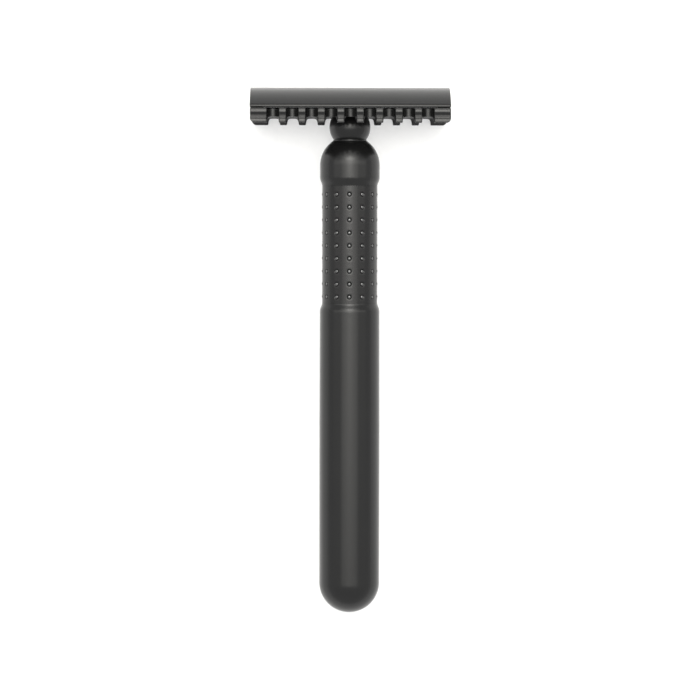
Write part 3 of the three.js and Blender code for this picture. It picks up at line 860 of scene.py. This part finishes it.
def make_floor():
    """A plain white sheet, faintly lit from under like a light table."""
    corners = [(-1, -1), (1, -1), (1, 1), (-1, 1)]
    mesh = bpy.data.meshes.new("floor")
    mesh.from_pydata([(x * FLOOR_HALF_SIZE, y * FLOOR_HALF_SIZE, 0) for x, y in corners], [], [(0, 1, 2, 3)])
    floor = bpy.data.objects.new("floor", mesh)
    bpy.context.scene.collection.objects.link(floor)
    material, tree, shader = node_material("floor_paper")
    vector = object_coords(tree)
    fibres = noise(tree, vector, 900, 3)
    tone = ramp(tree, fibres, (0.42, 0.42, 0.42), (0.44, 0.44, 0.44))
    tree.links.new(tone, shader.inputs["Base Color"])
    shader.inputs["Roughness"].default_value = 0.35
    shader.inputs["Specular IOR Level"].default_value = 1.0
    shader.inputs["Emission Color"].default_value = (1.0, 1.0, 1.0, 1.0)
    shader.inputs["Emission Strength"].default_value = FLOOR_GLOW
    floor.data.materials.append(material)


make_floor()

# ---------------------------------------------------------------- light
SOFTBOX_DISTANCE = 3.0
LIGHT_COLOUR = (1.0, 0.985, 0.935)
LIGHT_TARGET = Vector((0.0, 0.03, 0.0))
WORLD_STRENGTH = 0.88


def softbox(name, toward_head, aside, half_head, half_side, radiance):
    """A softbox three metres away: angles in degrees from straight up, radiance in W per sr and m2."""
    ray = Vector((math.tan(math.radians(aside)), math.tan(math.radians(toward_head)), 1.0)).normalized()
    light = bpy.data.lights.new(name, "AREA")
    light.shape = "RECTANGLE"
    light.size = 2.0 * SOFTBOX_DISTANCE * math.tan(math.radians(half_side))
    light.size_y = 2.0 * SOFTBOX_DISTANCE * math.tan(math.radians(half_head))
    light.energy = radiance * math.pi * light.size * light.size_y
    light.color = LIGHT_COLOUR
    obj = bpy.data.objects.new(name, light)
    obj.location = LIGHT_TARGET + ray * SOFTBOX_DISTANCE
    along = (Vector((0.0, 1.0, 0.0)) - ray * ray.y).normalized()
    obj.rotation_euler = Matrix((along.cross(ray), along, ray)).transposed().to_euler()
    bpy.context.scene.collection.objects.link(obj)


softbox("key_low", 2, 0, 5, 17, 1.9)
softbox("key_middle", 12, 0, 5, 17, 2.6)
softbox("key_high", 23, 0, 6, 17, 4.1)
softbox("key_core", 13, 0, 16, 8, 2.6)
softbox("wide_fill", 12, 0, 24, 32, 1.6)
softbox("key_peak", 25, 0, 5, 8, 2.2)
softbox("top_near", 42, 0, 8, 17, 1.2)
softbox("top_far", 58, 0, 6, 17, 1.9)
for sign in (-1, 1):
    softbox("key_edge", 12, sign * 24, 5, 14, 1.2)
    softbox("side_fill", 12, sign * 50, 10, 14, 1.05)

world = bpy.data.worlds.new("studio")
bpy.context.scene.world = world
world.use_nodes = True
background = world.node_tree.nodes["Background"]
background.inputs["Color"].default_value = (1.0, 1.0, 1.0, 1)
background.inputs["Strength"].default_value = WORLD_STRENGTH
bpy.context.scene.view_settings.view_transform = "Standard"

# ---------------------------------------------------------------- camera
CAMERA_DISTANCE = 724.8
CAMERA_TARGET = (0.1, 0.0, RIDGE_Z - 57.07)
CAMERA_PITCH = math.radians(-2.521)
CAMERA_YAW = math.radians(0.575)
CAMERA_ROLL = math.radians(0.103)
FOCAL_PIXELS = 3323.9
FRAME_PIXELS = 700.0
SENSOR_WIDTH = 36.0


def make_camera():
    """The photograph's camera, fitted in the razor's own frame."""
    data = bpy.data.cameras.new("camera")
    data.sensor_width = SENSOR_WIDTH
    data.lens = FOCAL_PIXELS / FRAME_PIXELS * SENSOR_WIDTH
    data.clip_start = 0.01
    forward = Vector((math.sin(CAMERA_YAW) * math.cos(CAMERA_PITCH),
                      math.cos(CAMERA_YAW) * math.cos(CAMERA_PITCH), math.sin(CAMERA_PITCH)))
    right = forward.cross(Vector((0, 0, 1))).normalized()
    up = right.cross(forward)
    rolled_right = right * math.cos(CAMERA_ROLL) + up * math.sin(CAMERA_ROLL)
    rolled_up = up * math.cos(CAMERA_ROLL) - right * math.sin(CAMERA_ROLL)
    place = Vector(CAMERA_TARGET) - forward * CAMERA_DISTANCE
    x_axis = direction(*rolled_right)
    y_axis = direction(*rolled_up)
    z_axis = direction(*(-forward))
    matrix = Matrix((x_axis, y_axis, z_axis)).transposed().to_4x4()
    matrix.translation = to_world(*place)
    camera = bpy.data.objects.new("camera", data)
    camera.matrix_world = matrix
    bpy.context.scene.collection.objects.link(camera)
    bpy.context.scene.camera = camera


make_camera()
